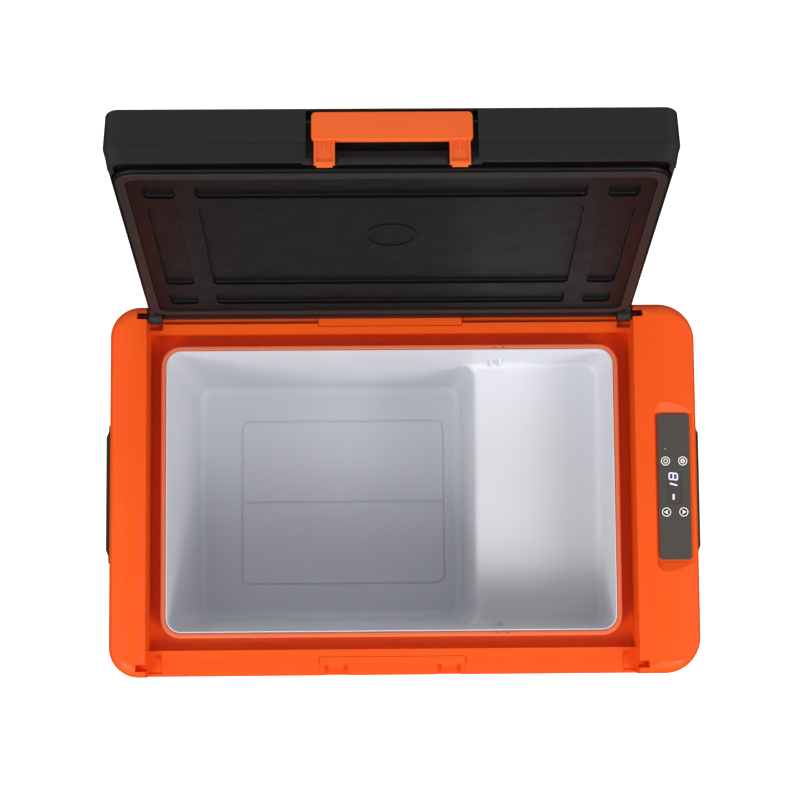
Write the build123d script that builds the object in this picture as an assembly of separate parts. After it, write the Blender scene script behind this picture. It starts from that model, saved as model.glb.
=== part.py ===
"""Compressor cooler fridge, 25 litre class, with its reversible lid standing open.

Millimetres. The origin is the middle of the base footprint on the ground. +Z is up, the latch
side of the lid faces -Y and the control rail is at +X. The lid pieces are drawn shut, where
their fits are easiest to read, and then swung open about the hinge.
"""
from build123d import *
import os

# ---------------------------------------------------------------- driving dimensions
body_width = 580.0          # over the two end rails, X
body_depth = 365.0          # front to back, Y
rim_height = 340.0          # crown of the end rails above the ground
left_corner = 30.0          # plan radius of the case at the left end
right_corner = 36.0         # plan radius of the case at the control end
shell = 3.0                 # moulded wall
frame_height = 58.0         # height of the moulded top frame
rail_round = 13.0           # round on the outer top edge of the rails
left_rail = 36.3            # width of the plain end rail
right_rail = 61.0           # width of the rail that carries the controls
rail_inner_drop = 3.5       # fall of the rail crown to its inner edge
rail_outer_drop = 6.0       # fall of the rail crown to its outer edge
wall_draft = 1.8            # how far a recess end wall leans in by the gutter floor
ledge_drop = 28.0           # outer ledge, below the rail crown
ridge_drop = 24.0           # ridge between the ledge and the gutter
gutter_drop = 42.0          # drain gutter round the tank mouth
ledge_width = 15.5          # outer ledge, back and front
ridge_width = 10.0          # ridge behind the ledge
gutter_side = 12.1          # gutter floor along the back and front, ridge to lip
gutter_end = 13.35          # gutter floor at the ends, rail to lip
gutter_floor = 4.0          # thickness of the gutter floor

tank_shift = -0.6           # tank centre, from the middle of the recess
tank_corner = 14.0
lip_width = 6.3             # sealing lip round the mouth
bead_width = 1.0            # upright edge of the liner inside the lip's seal
seal_gap = 0.4              # groove between that edge and the seal
seal_height = 3.0
lip_drop = 21.0             # top of the lip, below the rail crown
floor_foam = 37.0           # foam between the base tray and the well floor
shelf_depth = 89.0          # lip to the top of the shelf over the compressor
shelf_length = 133.4        # shelf over the compressor, from its face to the mouth's end
well_face_lean = 7.0        # how far the shelf's face leans in by the well floor
pattern_left = 46.0         # floor pattern, in from the left end of the well floor
pattern_right = 18.0        # floor pattern, in from the foot of the shelf's face
pattern_side = 45.6         # floor pattern, in from the line of the mouth, back and front
pattern_line = 2.4          # width of the pattern's grooves
pattern_depth = 1.2
tank_lean = 9.0             # how far each tank wall leans in, lip to well floor
liner_wall = 2.0
cold_sheet = 1.4            # cold plate round the well
floor_round = 9.0

open_angle = 104.5          # lid travel, shut to open
hinge_inset = 9.5           # hinge axis, in from the back edge
hinge_drop = 13.5           # hinge axis, below the rail crown
slot_width = 7.0            # hinge slots in the rails
pin_radius = 3.42           # hinge pins, free in their slots
pin_reach = 8.0             # how far a hinge pin stands into its rail
lid_side_gap = 1.8          # lid to rail, each end
lid_rise = 26.0             # top of the lid, above the rail crown
parting_drop = 7.3          # widest line of the lid, below the rail crown
skirt_drop = 22.4           # bottom of the front skirt, below the rail crown
lid_round = 3.0
lid_wall = 3.0
plug_drop = 19.0            # face of the inner panel, below the rail crown
plug_inset = 27.5           # plug of the inner panel, in from the back and front of the body
ring_shift = -20.0          # moulded ring on the inner panel, from its middle, Y
panel_flange_drop = 13.0    # underside of the inner panel's flange
panel_sheet = 2.5
field_depth = 3.8           # sunk fields of the inner panel
gasket_width = 8.5
gasket_inset = 5.5          # lid end to the gasket's outer edge
gasket_gap = 0.3            # gasket to the lip when shut

latch_width = 133.4
latch_height = 26.3
latch_top = 20.0            # top of the latch, above the rail crown
latch_face = 3.0            # how far the latch stands proud of the body front
leg_width = 17.2
leg_offset = 55.8           # middle of each latch leg, from the middle of the latch
leg_drop = 27.7             # foot of the legs, below the rail crown
hook_thick = 1.3
tongue_thick = 1.2          # keeper tongues, which the hooks close under

panel_length = 143.5        # control panel, Y
panel_width = 31.6          # control panel, X
panel_inset = 8.0           # control panel, in from the end of the body
panel_drop = 2.0            # panel face, below the rail crown
button_radius = 4.9
button_pitch_x = 17.0
button_pitch_y = 50.2
button_travel = 0.5

handle_length = 140.0
handle_drop = 20.0          # handle pivots, below the seam of the top frame
handle_reach = 10.3         # how far the handle's cover stands out from the case
handle_fall = 50.0          # pivots to the middle of the grip
handle_thick = 9.0
handle_arm = 10.5

foot_height = 14.0
tray_thick = 6.0
fan_size = 92.0
fan_depth = 25.0
vent_length = 110.0         # both vents, along the wall
end_vent_inset = 32.5       # end vent, in from the front of the body
end_vent_height = 110.0
front_vent_inset = 45.0     # front vent, in from the control end
front_vent_height = 70.0
vent_foot = 50.0            # lower edge of both vents, above the ground
compressor_radius = 52.0
compressor_inset = 97.5     # compressor, in from the back of the body

fit = 0.3                   # general gap between parts that are not fastened face to face

# ---------------------------------------------------------------- worked out places
half_width = body_width / 2
half_depth = body_depth / 2
frame_base = rim_height - frame_height
recess_left = -half_width + left_rail
recess_right = half_width - right_rail
recess_mid = (recess_left + recess_right) / 2
recess_half = (recess_right - recess_left) / 2
tank_mid = recess_mid + tank_shift
ridge_outer = half_depth - ledge_width
ridge_inner = ridge_outer - ridge_width
tank_length = 2 * (recess_half - gutter_end - lip_width)
tank_width = 2 * (ridge_inner - gutter_side - lip_width)
lip_top = rim_height - lip_drop
shelf_top = lip_top - shelf_depth
shelf_face = tank_mid + tank_length / 2 - shelf_length
plug_half_width = half_depth - plug_inset
hinge_y = half_depth - hinge_inset
hinge_z = rim_height - hinge_drop
lid_half = recess_half - lid_side_gap
tray_top = foot_height + tray_thick
well_floor = tray_top + floor_foam
tank_depth = lip_top - well_floor
bay_left = shelf_face + 16.0
bay_top = shelf_top - liner_wall - 16.0
panel_x = half_width - panel_inset - panel_width / 2
panel_top = rim_height - panel_drop
axis_line = Axis((0, hinge_y, hinge_z), (1, 0, 0))

parts = {}


def keep(name, shape):
    """Store one piece under its node name."""
    parts[name] = shape
    return shape


def block(x0, x1, y0, y1, z0, z1):
    """A plain box between six faces."""
    middle = ((x0 + x1) / 2, (y0 + y1) / 2, (z0 + z1) / 2)
    return Pos(*middle) * Box(x1 - x0, y1 - y0, z1 - z0)


def plate(x_mid, half_x, half_y, radius, z0, z1):
    """A flat plate with rounded plan corners."""
    outline = Pos(x_mid, 0, z0) * RectangleRounded(2 * half_x, 2 * half_y, radius)
    return extrude(outline, z1 - z0)


def body_outline(inset, z0, z1):
    """The case plan, set in by an amount, as a solid between two heights."""
    outline = Rectangle(body_width - 2 * inset, body_depth - 2 * inset)
    outline = fillet(outline.vertices().group_by(Axis.X)[0], left_corner - inset)
    outline = fillet(outline.vertices().group_by(Axis.X)[-1], right_corner - inset)
    return extrude(Pos(0, 0, z0) * outline, z1 - z0)


def cylinder_between(start, end, radius):
    """A round bar from one point to another."""
    return Solid.extrude(
        Face(Wire([Edge.make_circle(radius, Plane(origin=start, z_dir=Vector(*end) - Vector(*start)))])),
        Vector(*end) - Vector(*start))


def opened(shape):
    """Swing a lid piece from shut to standing open."""
    return shape.rotate(axis_line, -open_angle)


def edges_at(shape, z):
    """The edges of a shape that lie at one height."""
    return [e for e in shape.edges() if abs(e.bounding_box().min.Z - z) < 0.01
            and abs(e.bounding_box().max.Z - z) < 0.01]


# ---------------------------------------------------------------- top frame
def rail_section():
    """The two crowned end rails, drawn from the end and run from back to front."""
    inner = rim_height - rail_inner_drop
    outer = rim_height - rail_outer_drop
    floor = rim_height - gutter_drop
    rails = Part()
    for out_x, wall_x, lean in ((-half_width, recess_left, wall_draft),
                                (half_width, recess_right, -wall_draft)):
        with BuildSketch(Plane.XZ) as section:
            with BuildLine():
                Polyline((out_x, outer), (out_x, frame_base), (wall_x + lean, frame_base),
                         (wall_x + lean, floor), (wall_x, inner))
                ThreePointArc((wall_x, inner), ((out_x + wall_x) / 2, rim_height), (out_x, outer))
            make_face()
            tops = [v for v in section.vertices() if abs(v.Z - inner) < 0.01]
            fillet(tops, 2.5)
        rails += extrude(section.sketch, half_depth + 5, both=True)
    return rails


def middle_section():
    """The frame between the rails, drawn from the side: ledges, rounded ridges and the gutter."""
    ridge = rim_height - ridge_drop
    floor = rim_height - gutter_drop
    ledge = rim_height - ledge_drop
    edge = half_depth + 5
    with BuildSketch(Plane.YZ) as section:
        with BuildLine():
            Polyline((-edge, frame_base), (-edge, ledge), (-ridge_outer, ledge), (-ridge_outer, ridge),
                     (-ridge_inner, ridge), (-ridge_inner, floor), (ridge_inner, floor),
                     (ridge_inner, ridge), (ridge_outer, ridge), (ridge_outer, ledge), (edge, ledge),
                     (edge, frame_base), (-edge, frame_base))
        make_face()
        fillet([v for v in section.vertices() if abs(v.Z - ridge) < 0.01], 1.6)
        fillet([v for v in section.vertices() if abs(v.Z - floor) < 0.01], 3.0)
    length = recess_right - recess_left
    return Pos(recess_mid, 0, 0) * extrude(section.sketch, length / 2 + 1, both=True)


def top_frame():
    """The moulded frame: crowned end rails, ledges, ridges, gutter and the seat for the controls."""
    frame = body_outline(0, frame_base, rim_height)
    frame = fillet(edges_at(frame, rim_height), rail_round)
    frame = frame & (rail_section() + middle_section())
    # the mouth that the tank drops into, and the hollow underside
    lip_x = tank_length / 2 + lip_width + fit
    lip_y = tank_width / 2 + lip_width + fit
    frame -= plate(tank_mid, lip_x, lip_y, tank_corner + lip_width, frame_base - 1, rim_height)
    under = rim_height - gutter_drop - gutter_floor
    frame -= block(recess_left + 4, recess_right - 4, -ridge_inner + 3, ridge_inner - 3,
                   frame_base - 1, under)
    rail_end = ridge_inner - 6
    frame -= block(-half_width + shell, recess_left - shell, -rail_end, rail_end,
                   frame_base - 1, rim_height - 14)
    frame -= block(recess_right + shell, half_width - shell, -rail_end, rail_end,
                   frame_base - 1, rim_height - 14)
    # seat for the control panel: flat in the middle, running out to the crown at both ends
    seat = panel_top - 2.5
    seat_half = panel_length / 2 + 1.0
    seat_side = panel_width / 2 + 3.2
    run_out = 13.0
    frame -= block(panel_x - seat_side, panel_x + seat_side, -seat_half, seat_half, seat, rim_height + 1)
    for side in (-1, 1):
        # a crescent that runs out to the crown beyond each end of the panel
        with BuildSketch(Plane.YZ) as slope:
            with BuildLine():
                Polyline((side * (seat_half - 1), seat), (side * seat_half, seat),
                         (side * (seat_half + run_out), rim_height + 1),
                         (side * (seat_half - 1), rim_height + 1), (side * (seat_half - 1), seat))
            make_face()
        crescent = extrude(Pos(0, side * seat_half, seat - 1) * Ellipse(seat_side, run_out), 10)
        frame -= Pos(panel_x, 0, 0) * (extrude(slope.sketch, seat_side, both=True) & crescent)
    frame -= block(panel_x - panel_width / 2 + 2, panel_x + panel_width / 2 - 2,
                   -panel_length / 2 + 6, panel_length / 2 - 6, rim_height - 20, rim_height)
    # hinge slots in all four rail corners, so that the lid can be turned round
    for side in (-1, 1):
        for wall_x, outward in ((recess_left, -1), (recess_right, 1)):
            x0, x1 = sorted((wall_x - outward * 4, wall_x + outward * (pin_reach + 1.2)))
            half = slot_width / 2
            slot = block(x0, x1, side * hinge_y - half, side * hinge_y + half, hinge_z, rim_height + 1)
            slot += cylinder_between((x0, side * hinge_y, hinge_z), (x1, side * hinge_y, hinge_z), half)
            frame -= slot
            # relief in the ledge and the ridge under the hinge knuckle
            r0, r1 = sorted((wall_x, wall_x - outward * 14))
            y0, y1 = sorted((side * (ridge_outer - 6), side * (half_depth - 3)))
            frame -= block(r0, r1, y0, y1, rim_height - ledge_drop - 1.5, rim_height - ridge_drop + 1)
    # latch notches front and back: a seat for the keeper and a pocket for each hook
    for side in (-1, 1):
        half = latch_width / 2 + 5.5
        y0, y1 = sorted((side * (ridge_outer - 3), side * (half_depth + 5)))
        frame -= block(recess_mid - half, recess_mid + half, y0, y1,
                       rim_height - ledge_drop - 0.8, rim_height - ridge_drop + 1)
        for offset in (-leg_offset, leg_offset):
            x = recess_mid + offset
            y0, y1 = sorted((side * ridge_outer, side * (half_depth + 5)))
            frame -= block(x - leg_width / 2 - 3, x + leg_width / 2 + 3, y0, y1,
                           rim_height - ledge_drop - 9, rim_height - ridge_drop)
    return keep("top_frame", frame)


def keepers():
    """Front and rear keeper plates: the hooks close under their two tongues."""
    top = rim_height - ridge_drop - 0.8
    half = latch_width / 2 + 5.0
    for name, side in (("keeper_front", -1), ("keeper_rear", 1)):
        base = rim_height - ledge_drop - 0.8
        y0, y1 = sorted((side * (ridge_outer - 2.6), side * (ridge_outer + 5.0)))
        bar = block(recess_mid - half, recess_mid + half, y0, y1, top - 2.4, top)
        s0, s1 = sorted((side * (ridge_outer - 2.6), side * (ridge_outer - 0.2)))
        bar += block(recess_mid - half, recess_mid + half, s0, s1, base, top)
        bar += block(recess_mid - 30, recess_mid + 30, y0, y1, base, top)
        for offset in (-leg_offset, leg_offset):
            x = recess_mid + offset
            t0, t1 = sorted((side * ridge_outer, side * (ridge_outer + 8.1)))
            bar += block(x - leg_width / 2 + 1, x + leg_width / 2 - 1, t0, t1, top - tongue_thick, top)
        keep(name, bar)


# ---------------------------------------------------------------- tank
divider_places = (shelf_face + 16.5, shelf_face + 25.5)


def tank_solid(grow):
    """The tank as a filled solid, grown outward by an amount: upper part, then the well."""
    def slice_at(x0, x1, half_y, z, radius):
        return Pos((x0 + x1) / 2, 0, z) * RectangleRounded(x1 - x0, 2 * half_y, radius)

    x0 = tank_mid - tank_length / 2
    x1 = tank_mid + tank_length / 2
    y = tank_width / 2
    lean = tank_lean * shelf_depth / tank_depth
    radius = tank_corner + grow
    upper = loft([slice_at(x0 - grow, x1 + grow, y + grow, lip_top, radius),
                  slice_at(x0 + lean - grow, x1 - lean + grow, y - lean + grow, shelf_top - grow,
                           radius)])
    lower = loft([slice_at(x0 + lean - grow, shelf_face + grow, y - lean + grow, shelf_top - grow,
                           radius),
                  slice_at(x0 + tank_lean - grow, shelf_face - well_face_lean + grow, y - tank_lean + grow,
                           well_floor - grow, radius)])
    return upper + lower


def inner_liner():
    """White moulded tank with its flange, the compressor shelf and the floor pattern."""
    cavity = tank_solid(0)
    cavity = fillet(edges_at(cavity, well_floor), floor_round)
    shelf_edges = [e for e in edges_at(cavity, shelf_top) if e.center().X > shelf_face - 1]
    cavity = fillet(shelf_edges, 7.0)
    lip_x = tank_length / 2 + lip_width
    lip_y = tank_width / 2 + lip_width
    flange_base = rim_height - gutter_drop - gutter_floor
    seat = lip_top - seal_height
    flange = plate(tank_mid, lip_x, lip_y, tank_corner + lip_width, flange_base, seat)
    flange += plate(tank_mid, tank_length / 2 + bead_width, tank_width / 2 + bead_width,
                    tank_corner + bead_width, seat - 1, lip_top)
    above = block(-body_width, body_width, -body_depth, body_depth, lip_top - 5, lip_top + 5)
    liner = flange + tank_solid(liner_wall).cut(above)
    liner -= cavity
    # grooves of the floor pattern
    floor_left = tank_mid - tank_length / 2 + tank_lean
    floor_right = shelf_face - well_face_lean
    x0, x1 = floor_left + pattern_left, floor_right - pattern_right
    x_mid, half_x, half_y = (x0 + x1) / 2, (x1 - x0) / 2, tank_width / 2 - pattern_side
    radius = 12.0
    low, high = well_floor - pattern_depth, well_floor + 1
    ring = plate(x_mid, half_x, half_y, radius, low, high)
    ring -= plate(x_mid, half_x - pattern_line, half_y - pattern_line, radius - pattern_line,
                  low - 1, high + 1)
    liner -= ring + block(x0 + 1, x1 - 1, -pattern_line / 2, pattern_line / 2, low, high)
    # paired ribs that hold a divider at the edge of the shelf
    for side in (-1, 1):
        for x in divider_places:
            y0, y1 = sorted((side * (tank_width / 2 - 6.5), side * (tank_width / 2 + 1)))
            rib = block(x - 1.1, x + 1.1, y0, y1, shelf_top - 1, shelf_top + 30)
            liner += rib & tank_solid(liner_wall / 2)
    return keep("inner_liner", liner)


def mouth_seal():
    """Soft ring on the liner's flange, which the lid's gasket closes on, with the divider's holes."""
    grow = bead_width + seal_gap
    ring = plate(tank_mid, tank_length / 2 + lip_width, tank_width / 2 + lip_width,
                 tank_corner + lip_width, lip_top - seal_height, lip_top)
    ring -= plate(tank_mid, tank_length / 2 + grow, tank_width / 2 + grow, tank_corner + grow,
                  lip_top - seal_height - 1, lip_top + 1)
    ring = fillet(edges_at(ring, lip_top), 1.6)
    for side in (-1, 1):
        for x in divider_places:
            ring -= Pos(x, side * (tank_width / 2 + lip_width / 2), lip_top) * Cylinder(0.9, 5)
    return keep("mouth_seal", ring)


def cold_band():
    """The height and length over which the cold plate is wrapped."""
    return block(-body_width, shelf_face - 14, -body_depth, body_depth, well_floor + 14,
                 shelf_top - 22)


def evaporator_plate():
    """Aluminium cold plate wrapped round the outside of the well, inside the foam."""
    band = tank_solid(liner_wall + cold_sheet) - tank_solid(liner_wall)
    return keep("evaporator_plate", band & cold_band())


# ---------------------------------------------------------------- case and foam
vent_y0 = -half_depth + end_vent_inset
vent_y1 = vent_y0 + vent_length
vent_z0, vent_z1 = vent_foot, vent_foot + end_vent_height
front_vent_x1 = half_width - front_vent_inset
front_vent_x0 = front_vent_x1 - vent_length
front_vent_z0, front_vent_z1 = vent_foot, vent_foot + front_vent_height
socket_y, socket_z = half_depth - 62.5, 74.0
socket_length, socket_height = 34.0, 24.0


def outer_case():
    """Moulded case wall with the vents, the inlet hole and a bead near its foot."""
    case = body_outline(0, tray_top, frame_base)
    case -= body_outline(shell, tray_top - 1, frame_base + 1)
    groove = body_outline(-1, frame_base - 3.0, frame_base - 1.2) - body_outline(1.0, 0, 400)
    case -= groove
    case -= block(half_width - 10, half_width + 10, vent_y0, vent_y1, vent_z0, vent_z1)
    case -= block(front_vent_x0, front_vent_x1, -half_depth - 10, -half_depth + 10,
                  front_vent_z0, front_vent_z1)
    case -= block(half_width - 10, half_width + 10, socket_y - socket_length / 2 - fit,
                  socket_y + socket_length / 2 + fit, socket_z - socket_height / 2 - fit,
                  socket_z + socket_height / 2 + fit)
    return keep("outer_case", case)


def body_insulation():
    """Foam between the case and the tank, cut away for the machine bay."""
    foam = body_outline(shell, tray_top, frame_base)
    foam -= tank_solid(liner_wall)
    foam -= tank_solid(liner_wall + cold_sheet) & cold_band()
    foam -= block(bay_left, half_width + 1, -half_depth, half_depth, 0, bay_top)
    foam -= block(recess_right - 6, half_width + 1, -half_depth, half_depth, 0, frame_base + 1)
    return keep("body_insulation", foam)


def bay_panel():
    """Moulded screen between the foam and the machine bay."""
    side = half_depth - shell
    panel = block(bay_left, bay_left + 2, -side, side, tray_top, bay_top)
    panel += block(bay_left, recess_right - 6, -side, side, bay_top - 2, bay_top)
    panel += block(recess_right - 6, recess_right - 4, -side, side, bay_top - 2, frame_base)
    return keep("bay_panel", panel & body_outline(shell, tray_top, frame_base))


def base_tray():
    """Base plate that closes the case and carries the feet and the compressor."""
    tray = body_outline(1.0, foot_height, tray_top)
    return keep("base_tray", fillet(edges_at(tray, foot_height), 2.5))


def feet():
    """Four rubber feet."""
    for name, sx, sy in (("foot_front_left", -1, -1), ("foot_front_right", 1, -1),
                         ("foot_rear_left", -1, 1), ("foot_rear_right", 1, 1)):
        centre = Pos(sx * (half_width - 42), sy * (half_depth - 38), foot_height / 2)
        foot = centre * Cylinder(17, foot_height)
        keep(name, fillet(edges_at(foot, 0), 2.0))


def grille(name, flat):
    """A louvred panel: a border with evenly spaced slats."""
    if flat == "end":
        y0, y1, z0, z1 = vent_y0 + fit, vent_y1 - fit, vent_z0 + fit, vent_z1 - fit
        body = block(half_width - shell, half_width + 1, y0, y1, z0, z1)
        body -= block(half_width - 9, half_width + 9, y0 + 4, y1 - 4, z0 + 4, z1 - 4)
        count = 9
        for i in range(count):
            z = z0 + 4 + (i + 0.5) * (z1 - z0 - 8) / count
            slat = Pos(half_width - 1, (y0 + y1) / 2, z) * Rot(0, 30, 0) * Box(4.6, y1 - y0 - 6, 1.8)
            body += slat
    else:
        x0, x1 = front_vent_x0 + fit, front_vent_x1 - fit
        z0, z1 = front_vent_z0 + fit, front_vent_z1 - fit
        body = block(x0, x1, -half_depth - 1, -half_depth + shell, z0, z1)
        body -= block(x0 + 4, x1 - 4, -half_depth - 9, -half_depth + 9, z0 + 4, z1 - 4)
        count = 6
        for i in range(count):
            z = z0 + 4 + (i + 0.5) * (z1 - z0 - 8) / count
            slat = Pos((x0 + x1) / 2, -half_depth + 1, z) * Rot(30, 0, 0) * Box(x1 - x0 - 6, 4.6, 1.8)
            body += slat
    return keep(name, body)


def power_socket():
    """Two-pin low-voltage inlet, proud of the control end by its flange."""
    y0, y1 = socket_y - socket_length / 2, socket_y + socket_length / 2
    z0, z1 = socket_z - socket_height / 2, socket_z + socket_height / 2
    body = block(half_width - 26, half_width + 1.5, y0, y1, z0, z1)
    body += block(half_width, half_width + 1.5, y0 - 4, y1 + 4, z0 - 4, z1 + 4)
    body -= block(half_width - 22, half_width + 5, y0 + 4, y1 - 4, z0 + 4, z1 - 4)
    for offset in (-6, 6):
        y = socket_y + offset
        body += cylinder_between((half_width - 24, y, socket_z), (half_width - 9, y, socket_z), 1.6)
    return keep("power_socket", body)


# ---------------------------------------------------------------- machine bay
compressor_x, compressor_y = bay_left + 84.65, half_depth - compressor_inset
fan_y, fan_z = (vent_y0 + vent_y1) / 2, (vent_z0 + vent_z1) / 2
fan_x = half_width - shell - fan_depth / 2 - 6
condenser_x = fan_x - fan_depth / 2 - 42
condenser_z = fan_z - 65.0
tube_rows, tube_pitch = 5, 22.0


def compressor():
    """Sealed compressor can on a sheet base, with four rubber grommets."""
    base_z = tray_top + 10.0
    can = Pos(compressor_x, compressor_y, base_z + 2 + 55) * Cylinder(compressor_radius, 110)
    can = fillet(edges_at(can, base_z + 112), 24)
    can = fillet(edges_at(can, base_z + 2), 12)
    can += cylinder_between((compressor_x - 60, compressor_y - 20, base_z + 74),
                            (compressor_x - 30, compressor_y - 20, base_z + 74), 4.0)
    can += cylinder_between((compressor_x + 10, compressor_y - 62, base_z + 60),
                            (compressor_x + 10, compressor_y - 40, base_z + 60), 3.6)
    keep("compressor", can)
    outline = RectangleRounded(150, 120, 12)
    sheet = Pos(compressor_x, compressor_y, base_z + 1) * extrude(outline, 1, both=True)
    for name, sx, sy in (("grommet_1", -1, -1), ("grommet_2", 1, -1), ("grommet_3", -1, 1),
                         ("grommet_4", 1, 1)):
        x, y = compressor_x + sx * 62, compressor_y + sy * 48
        sheet -= Pos(x, y, base_z) * Cylinder(5.2, 20)
        grommet = Pos(x, y, tray_top + 5) * Cylinder(9, 10) + Pos(x, y, tray_top + 7) * Cylinder(5, 14)
        keep(name, grommet)
    keep("compressor_base", sheet)


def condenser():
    """Finned condenser block behind the end vent."""
    x0, x1 = condenser_x, condenser_x + 36
    y0, y1, z0, z1 = vent_y0 + 4, vent_y1 - 4, condenser_z, condenser_z + 110
    body = block(x0, x1, y0, y0 + 1.2, tray_top, z1) + block(x0, x1, y1 - 1.2, y1, tray_top, z1)
    fins = 21
    for i in range(1, fins):
        y = y0 + i * (y1 - y0) / fins
        body += block(x0 + 1, x1 - 1, y - 0.4, y + 0.4, z0, z1 - 2)
    for row in range(tube_rows):
        z = z0 + tube_pitch / 2 + row * tube_pitch
        for x in (x0 + 9, x1 - 9):
            body += cylinder_between((x, y0 - 4, z), (x, y1 + 4, z), 3.2)
    return keep("condenser", body)


def fan():
    """Square fan frame and its rotor, blowing along X through the end vent."""
    half = fan_size / 2
    frame = block(fan_x - fan_depth / 2, fan_x + fan_depth / 2, fan_y - half, fan_y + half,
                  fan_z - half, fan_z + half)
    frame -= cylinder_between((fan_x - 30, fan_y, fan_z), (fan_x + 30, fan_y, fan_z), half - 3)
    back = fan_x - fan_depth / 2
    frame += cylinder_between((back, fan_y, fan_z), (back + 3, fan_y, fan_z), 19)
    frame -= cylinder_between((back, fan_y, fan_z), (back + 3, fan_y, fan_z), 2.05)
    for spoke in range(4):
        arm = Pos(back + 1.5, fan_y, fan_z) * Rot(45 + 90 * spoke, 0, 0) * Pos(0, 0, 31) * Box(3, 4, 30)
        frame += arm
    frame += block(fan_x - 8, fan_x + 8, fan_y - 12, fan_y + 12, tray_top, fan_z - half + 1)
    keep("fan_frame", frame)
    hub_start = back + 4
    rotor = cylinder_between((hub_start, fan_y, fan_z), (hub_start + 18, fan_y, fan_z), 18)
    rotor += cylinder_between((back + 0.5, fan_y, fan_z), (hub_start + 1, fan_y, fan_z), 2.0)
    for i in range(7):
        blade = Rot(i * 360 / 7, 0, 0) * Pos(0, 0, 28.5) * Rot(0, 0, 38) * Box(20, 1.8, 25)
        rotor += Pos(hub_start + 9, fan_y, fan_z) * blade
    keep("fan_rotor", rotor)


def pipe(points, radius, bend):
    """A round pipe through a few corners, with rounded bends."""
    path = FilletPolyline(*points, radius=bend)
    start = path @ 0
    profile = Plane(origin=start, z_dir=path % 0) * Circle(radius)
    return sweep(profile, path)


def pipes():
    """Discharge and suction pipes and the filter drier."""
    base_z = tray_top + 10.0
    x0 = condenser_x
    low_tube = condenser_z + tube_pitch / 2
    top_tube = low_tube + (tube_rows - 1) * tube_pitch
    y_end = vent_y1
    y_start = compressor_y - 62
    y_turn = (y_start + y_end) / 2
    keep("discharge_pipe", pipe([(compressor_x + 10, y_start, base_z + 60),
                                 (compressor_x + 10, y_turn, base_z + 60),
                                 (x0 + 9, y_turn, top_tube), (x0 + 9, y_end, top_tube)], 2.6, 8))
    keep("suction_pipe", pipe([(compressor_x - 60, compressor_y - 20, base_z + 74),
                               (bay_left + 9, compressor_y - 20, base_z + 74),
                               (bay_left + 9, compressor_y - 20, bay_top - 30),
                               (bay_left + 2, compressor_y - 20, bay_top - 30)], 3.2, 6))
    drier_x = bay_left + 2 + 9
    drier = Pos(drier_x, vent_y0 + 80, low_tube + 50) * Cylinder(9, 70)
    drier = fillet(edges_at(drier, low_tube + 15) + edges_at(drier, low_tube + 85), 4)
    keep("filter_drier", drier)


def power_module():
    """Compressor drive electronics: a finned box on the tray."""
    x0, x1 = bay_left + 30, bay_left + 96
    y0, y1 = vent_y0 + 66, vent_y0 + 136
    body = block(x0, x1, y0, y1, tray_top, tray_top + 34)
    for i in range(9):
        y = y0 + 4 + i * (y1 - y0 - 8) / 8
        body += block(x0 + 3, x1 - 3, y - 1.2, y + 1.2, tray_top + 33, tray_top + 46)
    return keep("power_module", body)


# ---------------------------------------------------------------- controls
def controls():
    """Panel plate, display, circuit board, four buttons and two indicator lights."""
    z0, z1 = panel_top - 2.5, panel_top
    outline = Pos(panel_x, 0, z0) * RectangleRounded(panel_width, panel_length, 3)
    panel = extrude(outline, z1 - z0)
    panel = fillet(edges_at(panel, z1), 0.6)
    dx, dy = button_pitch_x / 2, button_pitch_y / 2
    board_top = panel_top - 8.0
    layout = (("button_power", -dx, dy), ("button_set", dx, dy),
              ("button_up", -dx, -dy), ("button_down", dx, -dy))
    for name, x, y in layout:
        panel -= Pos(panel_x + x, y, z1) * Cylinder(button_radius + 0.25, 12)
        cap = Pos(panel_x + x, y, (board_top + 1.4 + z1 + 0.4) / 2) * Cylinder(
            button_radius, z1 + 0.4 - board_top - 1.4)
        keep(name, fillet(edges_at(cap, z1 + 0.4), 0.35))
    for name, x in (("light_run", -dx), ("light_fault", dx)):
        y = dy + 12.2
        panel -= Pos(panel_x + x, y, z1) * Cylinder(0.95, 12)
        lamp = Pos(panel_x + x, y, (board_top + z1) / 2) * Cylinder(0.8, z1 - board_top)
        keep(name, lamp)
    panel -= block(panel_x - 7.2, panel_x + 6.8, -17.2, 14.2, z0 - 1, z1 + 1)
    keep("control_panel", panel)
    keep("display_module", block(panel_x - 7, panel_x + 6.6, -17, 14, board_top, z1 - 0.3))
    half_x, half_y = panel_width / 2 - 3.4, panel_length / 2 - 6.6
    board = block(panel_x - half_x, panel_x + half_x, -half_y, half_y, board_top - 1.6, board_top)
    for x in (-half_x + 2.2, half_x - 2.2):
        for y in (-half_y + 6, half_y - 6):
            board += block(panel_x + x - 2, panel_x + x + 2, y - 4, y + 4, board_top, z0)
    keep("control_board", board)


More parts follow.
